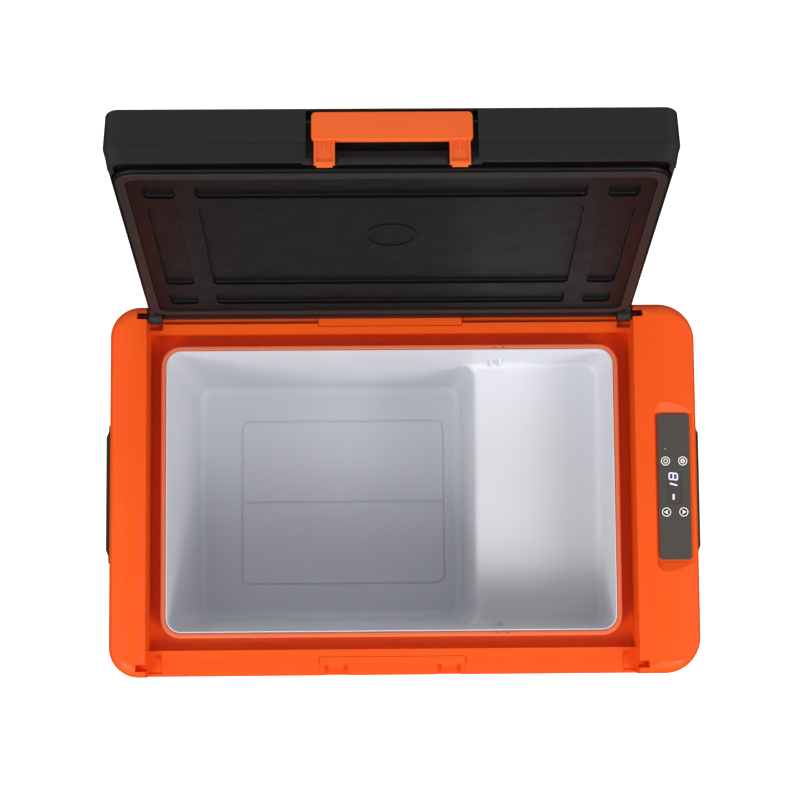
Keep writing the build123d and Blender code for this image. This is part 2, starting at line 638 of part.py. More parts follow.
# ---------------------------------------------------------------- handles
def handles():
    """A folding bail handle, its base and two pins at each end of the case."""
    z = frame_base - handle_drop
    for side, word in ((-1, "left"), (1, "right")):
        face = side * half_width
        axis_x = side * (half_width + 1.3 + handle_thick / 2)
        half = handle_length / 2
        lug_y = half - handle_arm - 1.0

        def between(near, far, y0, y1, z0, z1):
            x0, x1 = sorted((face + side * near, face + side * far))
            return block(x0, x1, y0, y1, z0, z1)

        base = between(0, 1.0, -half + 2, half - 2, z - 20, z + 8)
        # cover over the pivots, with ends that run back to the case in two steps
        cover_base, cover_top = z + 6.5, frame_base - 0.5
        outline = [(face, -half - 4), (face + side * handle_reach * 0.5, -half),
                   (face + side * handle_reach, -half + 13)]
        outline += [(x, -y) for x, y in reversed(outline)]
        cover = Pos(0, 0, cover_base) * make_face(Polyline(*outline, close=True))
        cover = extrude(cover, cover_top - cover_base)
        base += fillet(edges_at(cover, cover_top), 1.5)
        for sign in (-1, 1):
            y0, y1 = sorted((sign * (lug_y - 9), sign * lug_y))
            base += between(0.5, 1.3 + handle_thick, y0, y1, z - 5, z + 7)
        grip = between(1.3, 1.3 + handle_thick, -half, half, z - handle_fall - 7, z - handle_fall + 7)
        grip = fillet(grip.edges().filter_by(Axis.Y), 3.0)
        for sign in (-1, 1):
            y0, y1 = sorted((sign * (half - handle_arm), sign * half))
            arm = between(1.3, 1.3 + handle_thick, y0, y1, z - handle_fall, z)
            arm += cylinder_between((axis_x, y0, z), (axis_x, y1, z), handle_thick / 2)
            grip += arm
        for sign in (-1, 1):
            a, b = sign * (lug_y - 8), sign * (half - 1.5)
            bore = cylinder_between((axis_x, a, z), (axis_x, b, z), 2.05)
            grip -= bore
            base -= cylinder_between((axis_x, a, z), (axis_x, b, z), 2.0)
            where = "front" if sign < 0 else "rear"
            keep(f"handle_pin_{word}_{where}", cylinder_between((axis_x, a, z), (axis_x, b, z), 2.0))
        keep(f"handle_base_{word}", base)
        keep(f"handle_{word}", grip)


# ---------------------------------------------------------------- lid
latch_axis_y = -half_depth + 5.2
latch_axis_z = rim_height + 14.0


def lid_cover():
    """Black lid shell: a deep upper band, a skirt that leans in, and two hinge knuckles."""
    parting = rim_height - parting_drop
    top = rim_height + lid_rise
    bottom = rim_height - skirt_drop

    def outline(half_x, half_y, radius, z):
        return Pos(recess_mid, 0, z) * RectangleRounded(2 * half_x, 2 * half_y, radius)

    upper = loft([outline(lid_half, half_depth, 12, parting),
                  outline(lid_half - 0.8, half_depth - 1.2, 12, top)])
    upper = fillet(edges_at(upper, top), lid_round)
    skirt = loft([outline(lid_half - 0.6, half_depth - 0.6, 12, parting),
                  outline(lid_half - 3.5, half_depth - 3.0, 17, bottom)])
    inside_x, inside_y = lid_half - lid_wall - 0.6, half_depth - lid_wall - 1.2
    hollow = plate(recess_mid, inside_x, inside_y, 7, parting, top - lid_wall)
    hollow = fillet(edges_at(hollow, top - lid_wall), 6)
    cover = upper - hollow
    room = plate(recess_mid, lid_half - 7.0, half_depth - 7.0, 13, bottom - 1, parting + 1)
    room += plate(recess_mid, lid_half - 3.2, plug_half_width + 2.5, 20, bottom - 1, parting + 1)
    cover += skirt - room
    # housing round the latch pocket
    pocket_half = latch_width / 2 + 4.6
    pocket_top = rim_height + 23.2
    pocket_base = rim_height - 20.0
    front = -half_depth
    cover += block(recess_mid - pocket_half - 2.5, recess_mid + pocket_half + 2.5, front + 1.5,
                   front + 15, parting - 6, top - lid_wall + 0.5)
    cover += block(recess_mid - pocket_half - 2.5, recess_mid + pocket_half + 2.5, front + 3.5,
                   front + 10.6, pocket_base - 2.5, parting - 5)
    cover -= block(recess_mid - pocket_half, recess_mid + pocket_half, front - 5, front + 12,
                   parting - 4, pocket_top)
    cover -= block(recess_mid - pocket_half, recess_mid + pocket_half, front - 5, front + 8,
                   pocket_base, parting)
    for offset in (-leg_offset, leg_offset):
        x = recess_mid + offset
        cover -= block(x - leg_width / 2 - 2, x + leg_width / 2 + 2, front - 5, front + 8,
                       bottom - 1, parting)
    # the ends reach only to the plug, and the back stays clear of the body as it swings
    cover -= block(-400, 400, -half_depth + 20, 300, bottom - 1, rim_height - plug_drop + 1.8)
    cover -= block(-400, 400, ridge_inner + 1, 300, bottom - 1, hinge_z + 0.5)
    for side in (-1, 1):
        x0 = recess_mid + side * (lid_half - 13)
        x1 = recess_mid + side * (lid_half - 0.4)
        cover += cylinder_between((x0, hinge_y, hinge_z), (x1, hinge_y, hinge_z), 7.5)
        y0, y1 = hinge_y - 7.5, hinge_y + 7.5
        a, b = sorted((x0, x1))
        cover += block(a, b, y0, y1, hinge_z, hinge_z + 22)
        cover -= cylinder_between((x0, hinge_y, hinge_z), (x1, hinge_y, hinge_z), pin_radius)
        p0, p1 = sorted((recess_mid + side * (pocket_half - 1),
                         recess_mid + side * (pocket_half + 2.5)))
        cover -= cylinder_between((p0, latch_axis_y, latch_axis_z), (p1, latch_axis_y, latch_axis_z), 1.6)
    keep("lid_cover", opened(cover))
    for side, word in ((-1, "left"), (1, "right")):
        x0 = recess_mid + side * (lid_half - 13)
        x1 = recess_mid + side * (recess_half + pin_reach)
        pin = cylinder_between((x0, hinge_y, hinge_z), (x1, hinge_y, hinge_z), pin_radius)
        keep(f"hinge_pin_{word}", opened(pin))


def field_layout():
    """The nine sunk fields of the inner panel as (x0, x1, y0, y1), in its shut position."""
    end = lid_half - 3.5
    columns = ((23.55 - end, 50.35 - end), (68.05 - end, end - 68.05), (end - 50.35, end - 23.55))
    rows = ((plug_half_width - 54, plug_half_width - 27),
            (67.5 - plug_half_width, plug_half_width - 74),
            (26 - plug_half_width, 52 - plug_half_width))
    for x0, x1 in columns:
        for y0, y1 in rows:
            yield recess_mid + x0, recess_mid + x1, y0, y1


def field_solids(grow, z0, z1):
    """The nine fields as solids between two heights, grown sideways by an amount."""
    for x0, x1, y0, y1 in field_layout():
        outline = RectangleRounded(x1 - x0 + 2 * grow, y1 - y0 + 2 * grow, 6 + grow)
        yield extrude(Pos((x0 + x1) / 2, (y0 + y1) / 2, z0) * outline, z1 - z0)


def lid_inner_panel():
    """Moulded inner panel: a shallow plug with nine sunk fields, a ring and the gasket groove."""
    face = rim_height - plug_drop
    flange = rim_height - panel_flange_drop
    side = lid_half - 3.5
    panel = plate(recess_mid, side, plug_half_width, 22, face, flange + 0.01)
    panel = fillet(edges_at(panel, face), 2.5)
    panel += plate(recess_mid, side - 3.9, half_depth - 8.0, 12, flange, flange + panel_sheet)
    panel -= plate(recess_mid, side - 8, plug_half_width - 8, 15, face + panel_sheet,
                   flange + panel_sheet + 1)
    field_top = face + field_depth
    for bulge in field_solids(panel_sheet, face + 1, field_top + panel_sheet):
        panel += bulge
    for recess in field_solids(0, face - 1, field_top):
        panel -= fillet(edges_at(recess, field_top), 1.4)
    panel += Pos(recess_mid, ring_shift, field_top) * (Cylinder(23, 1.2) - Cylinder(21.4, 2))
    outer_x, outer_y = lid_half - gasket_inset, plug_half_width - 4.0
    groove = plate(recess_mid, outer_x + 0.1, outer_y + 0.1, 18, face - 1, face + 1.6)
    groove -= plate(recess_mid, outer_x - gasket_width - 0.1, outer_y - gasket_width - 0.1, 10,
                    face - 2, face + 3)
    panel -= groove
    # openings for the hinge knuckles and the latch housing
    for sign in (-1, 1):
        x0, x1 = sorted((recess_mid + sign * (lid_half - 16), recess_mid + sign * (lid_half + 2)))
        panel -= block(x0, x1, plug_half_width + 4, half_depth, face, rim_height)
    half = latch_width / 2 + 9
    panel -= block(recess_mid - half, recess_mid + half, -half_depth, -half_depth + 16.5,
                   face - 1, rim_height)
    panel -= block(-400, 400, hinge_y - 6, half_depth + 1, face - 1, hinge_z + 0.5)
    return keep("lid_inner_panel", opened(panel))


def lid_gasket():
    """Soft sealing gasket round the inner panel."""
    face = rim_height - plug_drop
    outer_x, outer_y = lid_half - gasket_inset, plug_half_width - 4.0
    foot = lip_top + gasket_gap
    ring = plate(recess_mid, outer_x, outer_y, 18, foot, face + 1.6)
    ring = fillet(edges_at(ring, foot), 1.2)
    ring -= plate(recess_mid, outer_x - gasket_width, outer_y - gasket_width, 10, foot - 1, face + 2)
    return keep("lid_gasket", opened(ring))


def lid_insulation():
    """Foam core of the lid."""
    low = rim_height - plug_drop + panel_sheet
    high = rim_height + lid_rise - lid_wall
    side = lid_half - 12
    core = plate(recess_mid, side, plug_half_width - 9, 14, low, high)
    for bulge in field_solids(panel_sheet, low - 1, low + field_depth):
        core -= bulge
    return keep("lid_insulation", opened(core))


def latch():
    """Orange latch: a bar with two hooked legs, hung on two pins and closed by a spring."""
    front = -half_depth - latch_face
    top = rim_height + latch_top
    low = top - latch_height
    foot = rim_height - leg_drop
    outline = Pos(recess_mid, front, (top + low) / 2) * Rot(90, 0, 0) * RectangleRounded(
        latch_width, latch_height, 4)
    bar = extrude(outline, -4.5)
    bar = fillet([e for e in bar.edges() if abs(e.center().Y - front) < 0.01], 1.4)
    for offset in (-leg_offset, leg_offset):
        x = recess_mid + offset
        x0, x1 = x - leg_width / 2, x + leg_width / 2
        bar += block(x0, x1, front + 2.0, front + 4.5, foot, low + 8)
        for a, b in ((x0, x0 + 1.8), (x1 - 1.8, x1), (x - 0.8, x + 0.8)):
            end = foot if b - a > 1.7 else (foot + low) / 2
            bar += block(a, b, front + 0.4, front + 4.5, end, low + 1)
        bar += block(x0, x1, front + 0.4, front + 4.5, foot, foot + 1.8)
        bar += block(x0 + 2, x1 - 2, front + 4.0, front + 8.2, foot, foot + hook_thick)
        lug0, lug1 = x - 4.5, x + 4.5
        bar += block(lug0, lug1, front + 3.5, latch_axis_y + 3.2, latch_axis_z - 4, latch_axis_z + 4)
    for sign in (-1, 1):
        a = recess_mid + sign * (leg_offset - 12)
        b = recess_mid + sign * (latch_width / 2 + 7.0)
        bar -= cylinder_between((a, latch_axis_y, latch_axis_z), (b, latch_axis_y, latch_axis_z), 1.65)
        pin = cylinder_between((a, latch_axis_y, latch_axis_z), (b, latch_axis_y, latch_axis_z), 1.6)
        keep("latch_pin_left" if sign < 0 else "latch_pin_right", opened(pin))
    keep("latch", opened(bar))
    x0, x1 = recess_mid - leg_offset + 5.0, recess_mid - leg_offset + 11.0
    coil = cylinder_between((x0, latch_axis_y, latch_axis_z), (x1, latch_axis_y, latch_axis_z), 2.6)
    coil -= cylinder_between((x0, latch_axis_y, latch_axis_z), (x1, latch_axis_y, latch_axis_z), 1.7)
    keep("latch_spring", opened(coil))


# ---------------------------------------------------------------- build and write
top_frame()
keepers()
inner_liner()
mouth_seal()
evaporator_plate()
outer_case()
body_insulation()
bay_panel()
base_tray()
feet()
grille("vent_end", "end")
grille("vent_front", "front")
power_socket()
compressor()
condenser()
fan()
pipes()
power_module()
controls()
handles()
lid_cover()
lid_inner_panel()
lid_gasket()
lid_insulation()
latch()

os.makedirs("parts", exist_ok=True)
for node, solid in parts.items():
    export_step(solid, f"parts/{node}.step")
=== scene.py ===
"""Compressor cooler fridge with its lid open: finishes, printed marks and small fittings
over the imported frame, in the order in which the object goes together."""
import bmesh
import bpy
import math
from mathutils import Euler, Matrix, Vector


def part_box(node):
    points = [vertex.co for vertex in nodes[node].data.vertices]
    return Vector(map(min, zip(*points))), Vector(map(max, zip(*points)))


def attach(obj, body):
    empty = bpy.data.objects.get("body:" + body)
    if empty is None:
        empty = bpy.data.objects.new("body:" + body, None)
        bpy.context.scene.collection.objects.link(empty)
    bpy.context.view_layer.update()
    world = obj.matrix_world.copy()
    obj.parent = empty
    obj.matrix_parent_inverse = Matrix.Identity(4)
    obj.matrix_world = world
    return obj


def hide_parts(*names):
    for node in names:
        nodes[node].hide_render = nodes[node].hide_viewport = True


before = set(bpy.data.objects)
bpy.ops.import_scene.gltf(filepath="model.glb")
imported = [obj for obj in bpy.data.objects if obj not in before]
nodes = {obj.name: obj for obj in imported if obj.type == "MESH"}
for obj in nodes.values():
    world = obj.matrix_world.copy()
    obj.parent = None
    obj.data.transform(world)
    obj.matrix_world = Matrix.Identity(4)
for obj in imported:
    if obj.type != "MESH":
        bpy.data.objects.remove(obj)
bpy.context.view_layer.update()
mm = 0.001


# ---- Base tray and feet
# The tray is a glass-filled polypropylene moulding that closes the case from below. Four
# soft rubber feet are pressed into it, and thread-forming screws hold it to the case.

def linear(code):
    """An sRGB hex colour as linear red, green, blue and alpha."""
    channels = [int(code[i:i + 2], 16) / 255 for i in (0, 2, 4)]
    return tuple(c / 12.92 if c <= 0.04045 else ((c + 0.055) / 1.055) ** 2.4
                 for c in channels) + (1.0,)


def add(tree, kind, inputs=None, **settings):
    """Adds a node to a tree, with its settings, and its inputs as values or links."""
    node = tree.nodes.new(kind)
    for name, value in settings.items():
        setattr(node, name, value)
    for name, value in (inputs or {}).items():
        if isinstance(value, bpy.types.NodeSocket):
            tree.links.new(value, node.inputs[name])
        else:
            node.inputs[name].default_value = value
    return node


def blank(name):
    """A new material with an empty tree."""
    material = bpy.data.materials.new(name)
    material.use_nodes = True
    material.node_tree.nodes.clear()
    return material, material.node_tree


def moulded(name, colour, worn, roughness, grain, depth, gloss=0.5, drift=0.12):
    """A moulded plastic or rubber: colour that drifts slightly over a hand's width, and the
    tool's spark-eroded grain, given by the width and depth of one pit in millimetres."""
    material, tree = blank(name)
    place = add(tree, "ShaderNodeTexCoord").outputs["Object"]
    cloud = add(tree, "ShaderNodeTexNoise", {"Vector": place, "Scale": 1 / (90 * mm), "Detail": 3.0})
    tint = add(tree, "ShaderNodeMix", {"Factor": cloud.outputs["Fac"], 6: linear(colour),
                                       7: linear(worn)}, data_type="RGBA")
    pits = add(tree, "ShaderNodeTexNoise", {"Vector": place, "Scale": 1 / (grain * mm),
                                            "Detail": 2.0, "Roughness": 0.55})
    handled = add(tree, "ShaderNodeTexNoise", {"Vector": place, "Scale": 1 / (25 * mm),
                                               "Detail": 4.0})
    matt = add(tree, "ShaderNodeMapRange", {"Value": handled.outputs["Fac"], "From Min": 0.3,
                                            "From Max": 0.7, "To Min": roughness * (1 - drift),
                                            "To Max": roughness * (1 + drift)})
    bump = add(tree, "ShaderNodeBump", {"Height": pits.outputs["Fac"], "Strength": 1.0,
                                        "Distance": depth * mm})
    shader = add(tree, "ShaderNodeBsdfPrincipled",
                 {"Base Color": tint.outputs[2], "Roughness": matt.outputs["Result"],
                  "Normal": bump.outputs["Normal"], "Specular IOR Level": gloss, "IOR": 1.5})
    add(tree, "ShaderNodeOutputMaterial", {"Surface": shader.outputs["BSDF"]})
    return material


def finish_nodes(material, *names):
    """Gives CAD pieces a material."""
    for name in names:
        nodes[name].data.materials.clear()
        nodes[name].data.materials.append(material)


def settle(piece):
    """Turns what a piece's modifiers make into its plain mesh."""
    graph = bpy.context.evaluated_depsgraph_get()
    made = bpy.data.meshes.new_from_object(piece.evaluated_get(graph))
    piece.modifiers.clear()
    piece.data = made


def socket_id(tree, name):
    """The identifier of a node tree's input, by its name."""
    return next(item.identifier for item in tree.interface.items_tree if item.name == name)


def show(name, shape):
    """Makes a mesh or a bmesh an object in the scene."""
    mesh = shape
    if isinstance(shape, bmesh.types.BMesh):
        mesh = bpy.data.meshes.new(name)
        shape.to_mesh(mesh)
        shape.free()
    piece = bpy.data.objects.new(name, mesh)
    bpy.context.scene.collection.objects.link(piece)
    return piece


def screw_head(radius, height, cross):
    """One domed screw head with a cross recess, standing on its origin and facing +Z."""
    head = bmesh.new()
    sides = 24
    rings = []
    for share, rise in ((1.0, 0.0), (1.0, 0.35), (0.9, 0.7), (0.62, 0.94), (0.3, 1.0)):
        rings.append([head.verts.new((radius * share * math.cos(2 * math.pi * i / sides),
                                      radius * share * math.sin(2 * math.pi * i / sides),
                                      height * rise)) for i in range(sides)])
    for low, high in zip(rings, rings[1:]):
        for i in range(sides):
            head.faces.new((low[i], low[(i + 1) % sides], high[(i + 1) % sides], high[i]))
    head.faces.new(list(reversed(rings[0])))
    head.faces.new(rings[-1])
    arm, half = cross / 2, cross * 0.12
    outline = ((arm, -half), (arm, half), (half, half), (half, arm), (-half, arm), (-half, half),
               (-arm, half), (-arm, -half), (-half, -half), (-half, -arm), (half, -arm),
               (half, -half))
    driver = bmesh.new()
    low = [driver.verts.new((x, y, height * 0.4)) for x, y in outline]
    high = [driver.verts.new((x, y, height * 1.6)) for x, y in outline]
    driver.faces.new(list(reversed(low)))
    driver.faces.new(high)
    for i, j in zip(range(len(outline)), [*range(1, len(outline)), 0]):
        driver.faces.new((low[i], low[j], high[j], high[i]))
    cutter = show("driver tip", driver)
    piece = show("screw head", head)
    recess = piece.modifiers.new("recess", "BOOLEAN")
    recess.object = cutter
    recess.operation = "DIFFERENCE"
    settle(piece)
    bpy.data.objects.remove(cutter)
    return piece


def screw_tree(head, finish):
    """The tree that sets a screw head on each point of a mesh, turned by chance about its axis."""
    tree = bpy.data.node_groups.new("screws on points", "GeometryNodeTree")
    for name, kind in (("Geometry", "Geometry"), ("Facing", "Vector"), ("Turn", "Float"),
                       ("Seed", "Int")):
        tree.interface.new_socket(name, in_out="INPUT", socket_type="NodeSocket" + kind)
    tree.interface.new_socket("Geometry", in_out="OUTPUT", socket_type="NodeSocketGeometry")
    given = add(tree, "NodeGroupInput").outputs
    shape = add(tree, "GeometryNodeObjectInfo", {"Object": head})
    facing = add(tree, "FunctionNodeAlignRotationToVector", {"Vector": given["Facing"]}, axis="Z")
    chance = add(tree, "FunctionNodeRandomValue", {2: 0.0, 3: given["Turn"], "Seed": given["Seed"]},
                 data_type="FLOAT")
    spin = add(tree, "FunctionNodeAxisAngleToRotation", {"Axis": (0, 0, 1), "Angle": chance.outputs[1]})
    turned = add(tree, "FunctionNodeRotateRotation",
                 {"Rotation": facing.outputs["Rotation"], "Rotate By": spin.outputs["Rotation"]},
                 rotation_space="LOCAL")
    placed = add(tree, "GeometryNodeInstanceOnPoints",
                 {"Points": given["Geometry"], "Instance": shape.outputs["Geometry"],
                  "Rotation": turned.outputs["Rotation"]})
    real = add(tree, "GeometryNodeRealizeInstances", {"Geometry": placed.outputs["Instances"]})
    coated = add(tree, "GeometryNodeSetMaterial", {"Geometry": real.outputs["Geometry"],
                                                   "Material": finish})
    add(tree, "NodeGroupOutput", {"Geometry": coated.outputs["Geometry"]})
    return tree


screw_rise = 1.5


def screws(name, places, facing, radius, body, seed):
    """Screw heads at places in millimetres, all facing one way, as one piece."""
    mesh = bpy.data.meshes.new(name)
    mesh.from_pydata([Vector(place) * mm for place in places], [], [])
    piece = show(name, mesh)
    head = screw_head(radius * mm, screw_rise * mm, radius * mm)
    maker = piece.modifiers.new("screws", "NODES")
    maker.node_group = screw_tree(head, steel)
    maker[socket_id(maker.node_group, "Facing")] = facing
    maker[socket_id(maker.node_group, "Turn")] = math.pi / 2
    maker[socket_id(maker.node_group, "Seed")] = seed
    settle(piece)
    bpy.data.objects.remove(head)
    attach(piece, body)


def metal(name, colour, dull, roughness, streak, depth, along=(1, 1, 1)):
    """A bare metal: the streaks of drawing, rolling or plating, given by the width of one
    streak in millimetres, stretched along an axis."""
    material, tree = blank(name)
    place = add(tree, "ShaderNodeTexCoord").outputs["Object"]
    drawn = add(tree, "ShaderNodeMapping", {"Vector": place, "Scale": along})
    lines = add(tree, "ShaderNodeTexNoise", {"Vector": drawn.outputs["Vector"],
                                             "Scale": 1 / (streak * mm), "Detail": 3.0})
    tint = add(tree, "ShaderNodeMix", {"Factor": lines.outputs["Fac"], 6: linear(colour),
                                       7: linear(dull)}, data_type="RGBA")
    matt = add(tree, "ShaderNodeMapRange", {"Value": lines.outputs["Fac"], "To Min": roughness * 0.75,
                                            "To Max": roughness * 1.25})
    bump = add(tree, "ShaderNodeBump", {"Height": lines.outputs["Fac"], "Strength": 1.0,
                                        "Distance": depth * mm})
    shader = add(tree, "ShaderNodeBsdfPrincipled",
                 {"Base Color": tint.outputs[2], "Roughness": matt.outputs["Result"],
                  "Normal": bump.outputs["Normal"], "Metallic": 1.0})
    add(tree, "ShaderNodeOutputMaterial", {"Surface": shader.outputs["BSDF"]})
    return material


tray_plastic = moulded("filled polypropylene tray", "1d1d1e", "232324", 0.55, 0.8, 0.02)
foot_rubber = moulded("matt foot rubber", "141414", "1c1c1b", 0.8, 0.7, 0.03)
steel = metal("zinc plated steel", "bdbdbb", "9c9c99", 0.3, 1.2, 0.004)
finish_nodes(tray_plastic, "base_tray", "bay_panel")
finish_nodes(foot_rubber, "foot_front_left", "foot_front_right", "foot_rear_left", "foot_rear_right",
             "grommet_1", "grommet_2", "grommet_3", "grommet_4")
tray_screw_radius = 3.6
side_inset, end_inset = 12, 14
tray_columns = (-215, -72, 72, 215)
tray_low, tray_high = (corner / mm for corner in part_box("base_tray"))
rows = [tray_low.y + side_inset, tray_high.y - side_inset]
ends = [tray_low.x + end_inset, tray_high.x - end_inset]
tray_screws = [(x, y, tray_low.z) for x in tray_columns for y in rows]
tray_screws += [(x, 0, tray_low.z) for x in ends]
screws("tray_screws", tray_screws, (0, 0, -1), tray_screw_radius, "cabinet", 11)


# ---- Case and top frame
# Both are moulded in orange ABS from a finely spark-eroded tool, so they take a broad soft
# highlight on their rounds and no sharp reflection.

orange_abs = moulded("orange moulded ABS", "fc5b12", "f8560e", 0.4, 0.45, 0.006, gloss=0.3)
finish_nodes(orange_abs, "outer_case", "top_frame", "keeper_front", "keeper_rear")


# ---- Vents and inlet
# Black textured polypropylene grilles let air through to the fan, which is moulded in the
# same plastic, as is the two-pin low-voltage inlet beside them.

trim_plastic = moulded("black textured polypropylene", "161617", "1b1b1c", 0.5, 0.6, 0.02)
finish_nodes(trim_plastic, "vent_end", "vent_front", "power_socket", "fan_frame", "fan_rotor")


# ---- Refrigeration set
# Behind the vents: a compressor in shiny black enamel on a zinc plated sheet, drawn copper
# pipe, and a dull aluminium condenser, cold plate and drive module, set in yellow foam.

compressor_enamel = moulded("black stoved enamel", "101011", "161616", 0.22, 3.0, 0.02)
copper = metal("drawn copper tube", "c9794f", "a95f3c", 0.28, 1.5, 0.004)
aluminium = metal("mill aluminium", "c9cbce", "b5b7ba", 0.32, 1.0, 0.006)
foam = moulded("rigid polyurethane foam", "e0cf96", "cdb97c", 0.9, 1.2, 0.15)
board = moulded("green solder mask", "0f4a26", "145a30", 0.35, 2.0, 0.01)
finish_nodes(compressor_enamel, "compressor")
finish_nodes(copper, "discharge_pipe", "suction_pipe", "filter_drier")
finish_nodes(aluminium, "condenser", "power_module", "evaporator_plate")
finish_nodes(steel, "compressor_base")
sheet_low, sheet_high = (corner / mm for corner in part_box("compressor_base"))
sheet_end, sheet_edge = 24, 7
small_screw_radius = 3.0
corners = [(x, y, sheet_high.z) for x in (sheet_low.x + sheet_end, sheet_high.x - sheet_end)
           for y in (sheet_low.y + sheet_edge, sheet_high.y - sheet_edge)]
screws("compressor_base_screws", corners, (0, 0, 1), small_screw_radius, "cabinet", 12)
finish_nodes(foam, "body_insulation", "lid_insulation")
finish_nodes(board, "control_board")


# ---- Tank liner
# Vacuum-formed from white polystyrene sheet: smooth, semi-gloss and slightly translucent,
# its white drifting at random towards a slightly cooler tone.

liner_sheet = moulded("white polystyrene liner", "e4e5ea", "dddfe5", 0.36, 9.0, 0.012, gloss=0.4)
finish_nodes(liner_sheet, "inner_liner")


# ---- Seal round the mouth
# A soft ring of thermoplastic rubber, tinted in the case's colour, pushed into its groove
# round the liner: duller than the hard plastic, and painted paler, a painted highlight on its rounded
# top.

# The pale salmon is the case orange with a painted highlight mixed in.
seal_rubber_painted_highlight = moulded("orange rubber with painted highlight", "ec764e", "e67049", 0.55, 0.6, 0.01, gloss=0.3)
finish_nodes(seal_rubber_painted_highlight, "mouth_seal")


# ---- Control panel
# A satin dark grey plate with four round keys, each with a printed ring and a sign, a
# smoked display window and two small lamps.

panel_plastic = moulded("satin grey panel plastic", "4c4843", "504b46", 0.36, 0.4, 0.004, gloss=0.4)
key_plastic = moulded("satin key plastic", "2e2b29", "33302d", 0.4, 0.4, 0.004, gloss=0.3)
window_plastic = moulded("smoked display window", "4a4641", "4d4944", 0.3, 2.0, 0.002, gloss=0.4)
finish_nodes(panel_plastic, "control_panel")
finish_nodes(key_plastic, "button_power", "button_set", "button_up", "button_down")
finish_nodes(window_plastic, "display_module")


def ink(name, colour, glow=0.0):
    """Screen-printed ink, or a lit segment: a thin even film, faintly uneven in its gloss. A glow given
    to print is painted light.
    """
    material, tree = blank(name)
    place = add(tree, "ShaderNodeTexCoord").outputs["Object"]
    mesh_mark = add(tree, "ShaderNodeTexNoise", {"Vector": place, "Scale": 1 / (0.4 * mm)})
    matt = add(tree, "ShaderNodeMapRange", {"Value": mesh_mark.outputs["Fac"], "To Min": 0.4,
                                            "To Max": 0.6})
    shader = add(tree, "ShaderNodeBsdfPrincipled",
                 {"Base Color": linear(colour), "Roughness": matt.outputs["Result"],
                  "Emission Color": linear(colour), "Emission Strength": glow})
    add(tree, "ShaderNodeOutputMaterial", {"Surface": shader.outputs["BSDF"]})
    return material


def round_line(x, y, radius, start, end, steps):
    """Points along an arc about a centre, in millimetres, angles in degrees."""
    angles = [math.radians(start + (end - start) * i / steps) for i in range(steps + 1)]
    return [(x + radius * math.cos(a), y + radius * math.sin(a)) for a in angles]


def band(x, y, radius, width, start=0.0, end=360.0, steps=40):
    """A printed arc or ring as a strip of four-sided outlines."""
    outer = round_line(x, y, radius, start, end, steps)
    inner = round_line(x, y, radius - width, start, end, steps)
    return [(outer[i], outer[i + 1], inner[i + 1], inner[i]) for i in range(steps)]


def bar(x, y, length, width, degrees=0.0):
    """A straight stroke about its middle, its length along X before it is turned."""
    c, s = math.cos(math.radians(degrees)), math.sin(math.radians(degrees))
    ends = ((-length, -width), (length, -width), (length, width), (-length, width))
    return [tuple((x + (a * c - b * s) / 2, y + (a * s + b * c) / 2) for a, b in ends)]


def printed(name, outlines, height, finish, body, film=0.04):
    """Lays outlines in millimetres flat at a height, as a film of ink that rides on a body."""
    sheet = bmesh.new()
    for outline in outlines:
        sheet.faces.new([sheet.verts.new((x * mm, y * mm, height * mm)) for x, y in outline])
    bmesh.ops.remove_doubles(sheet, verts=sheet.verts, dist=0.001 * mm)
    bmesh.ops.recalc_face_normals(sheet, faces=sheet.faces)
    if sum(face.normal.z for face in sheet.faces) < 0:
        bmesh.ops.reverse_faces(sheet, faces=sheet.faces)
    raised = bmesh.ops.extrude_face_region(sheet, geom=list(sheet.faces))
    lifted = [part for part in raised["geom"] if isinstance(part, bmesh.types.BMVert)]
    bmesh.ops.translate(sheet, verts=lifted, vec=(0, 0, film * mm))
    bmesh.ops.recalc_face_normals(sheet, faces=sheet.faces)
    piece = show(name, sheet)
    piece.data.materials.append(finish)
    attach(piece, body)
    return piece


# The white print's faint glow is painted light: printed ink gives off none.
white_print_painted_glow = ink("white screen print", "f6f4ee", glow=0.12)
print_line = 0.9
ring_radius, power_radius, power_gap = 4.5, 2.4, 35
cog_radius, cog_line, cog_teeth = 1.9, 1.05, 8
tooth_place, tooth_length, tooth_width = 2.1, 1.0, 0.85
key_places = {}
for key in ("power", "set", "up", "down"):
    low, high = (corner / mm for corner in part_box("button_" + key))
    key_places[key] = ((low.x + high.x) / 2, (low.y + high.y) / 2, high.z)


def key_sign(key):
    """The outlines of one key's sign; every sign's top points to the left end of the case."""
    x, y, _ = key_places[key]
    if key == "power":
        arc = band(x, y, power_radius, print_line, 180 + power_gap, 540 - power_gap, 30)
        return arc + bar(x - 1.6, y, 2.2, print_line)
    if key == "set":
        teeth = []
        for i in range(cog_teeth):
            a = (i + 0.5) * 360 / cog_teeth
            c, s = math.cos(math.radians(a)), math.sin(math.radians(a))
            teeth += bar(x + tooth_place * c, y + tooth_place * s, tooth_length, tooth_width, a)
        return band(x, y, cog_radius, cog_line, steps=32) + teeth
    point = -1 if key == "up" else 1
    tip, notch, barb, barb_half = 2.6, 0.9, 1.7, 2.5
    return [[(x + tip * point, y), (x - barb * point, y + barb_half), (x - notch * point, y),
             (x - barb * point, y - barb_half)]]


for key, (x, y, top) in key_places.items():
    print_lines = band(x, y, ring_radius, print_line) + key_sign(key)
    printed("key_print_" + key, print_lines, top, white_print_painted_glow, key + "_key")

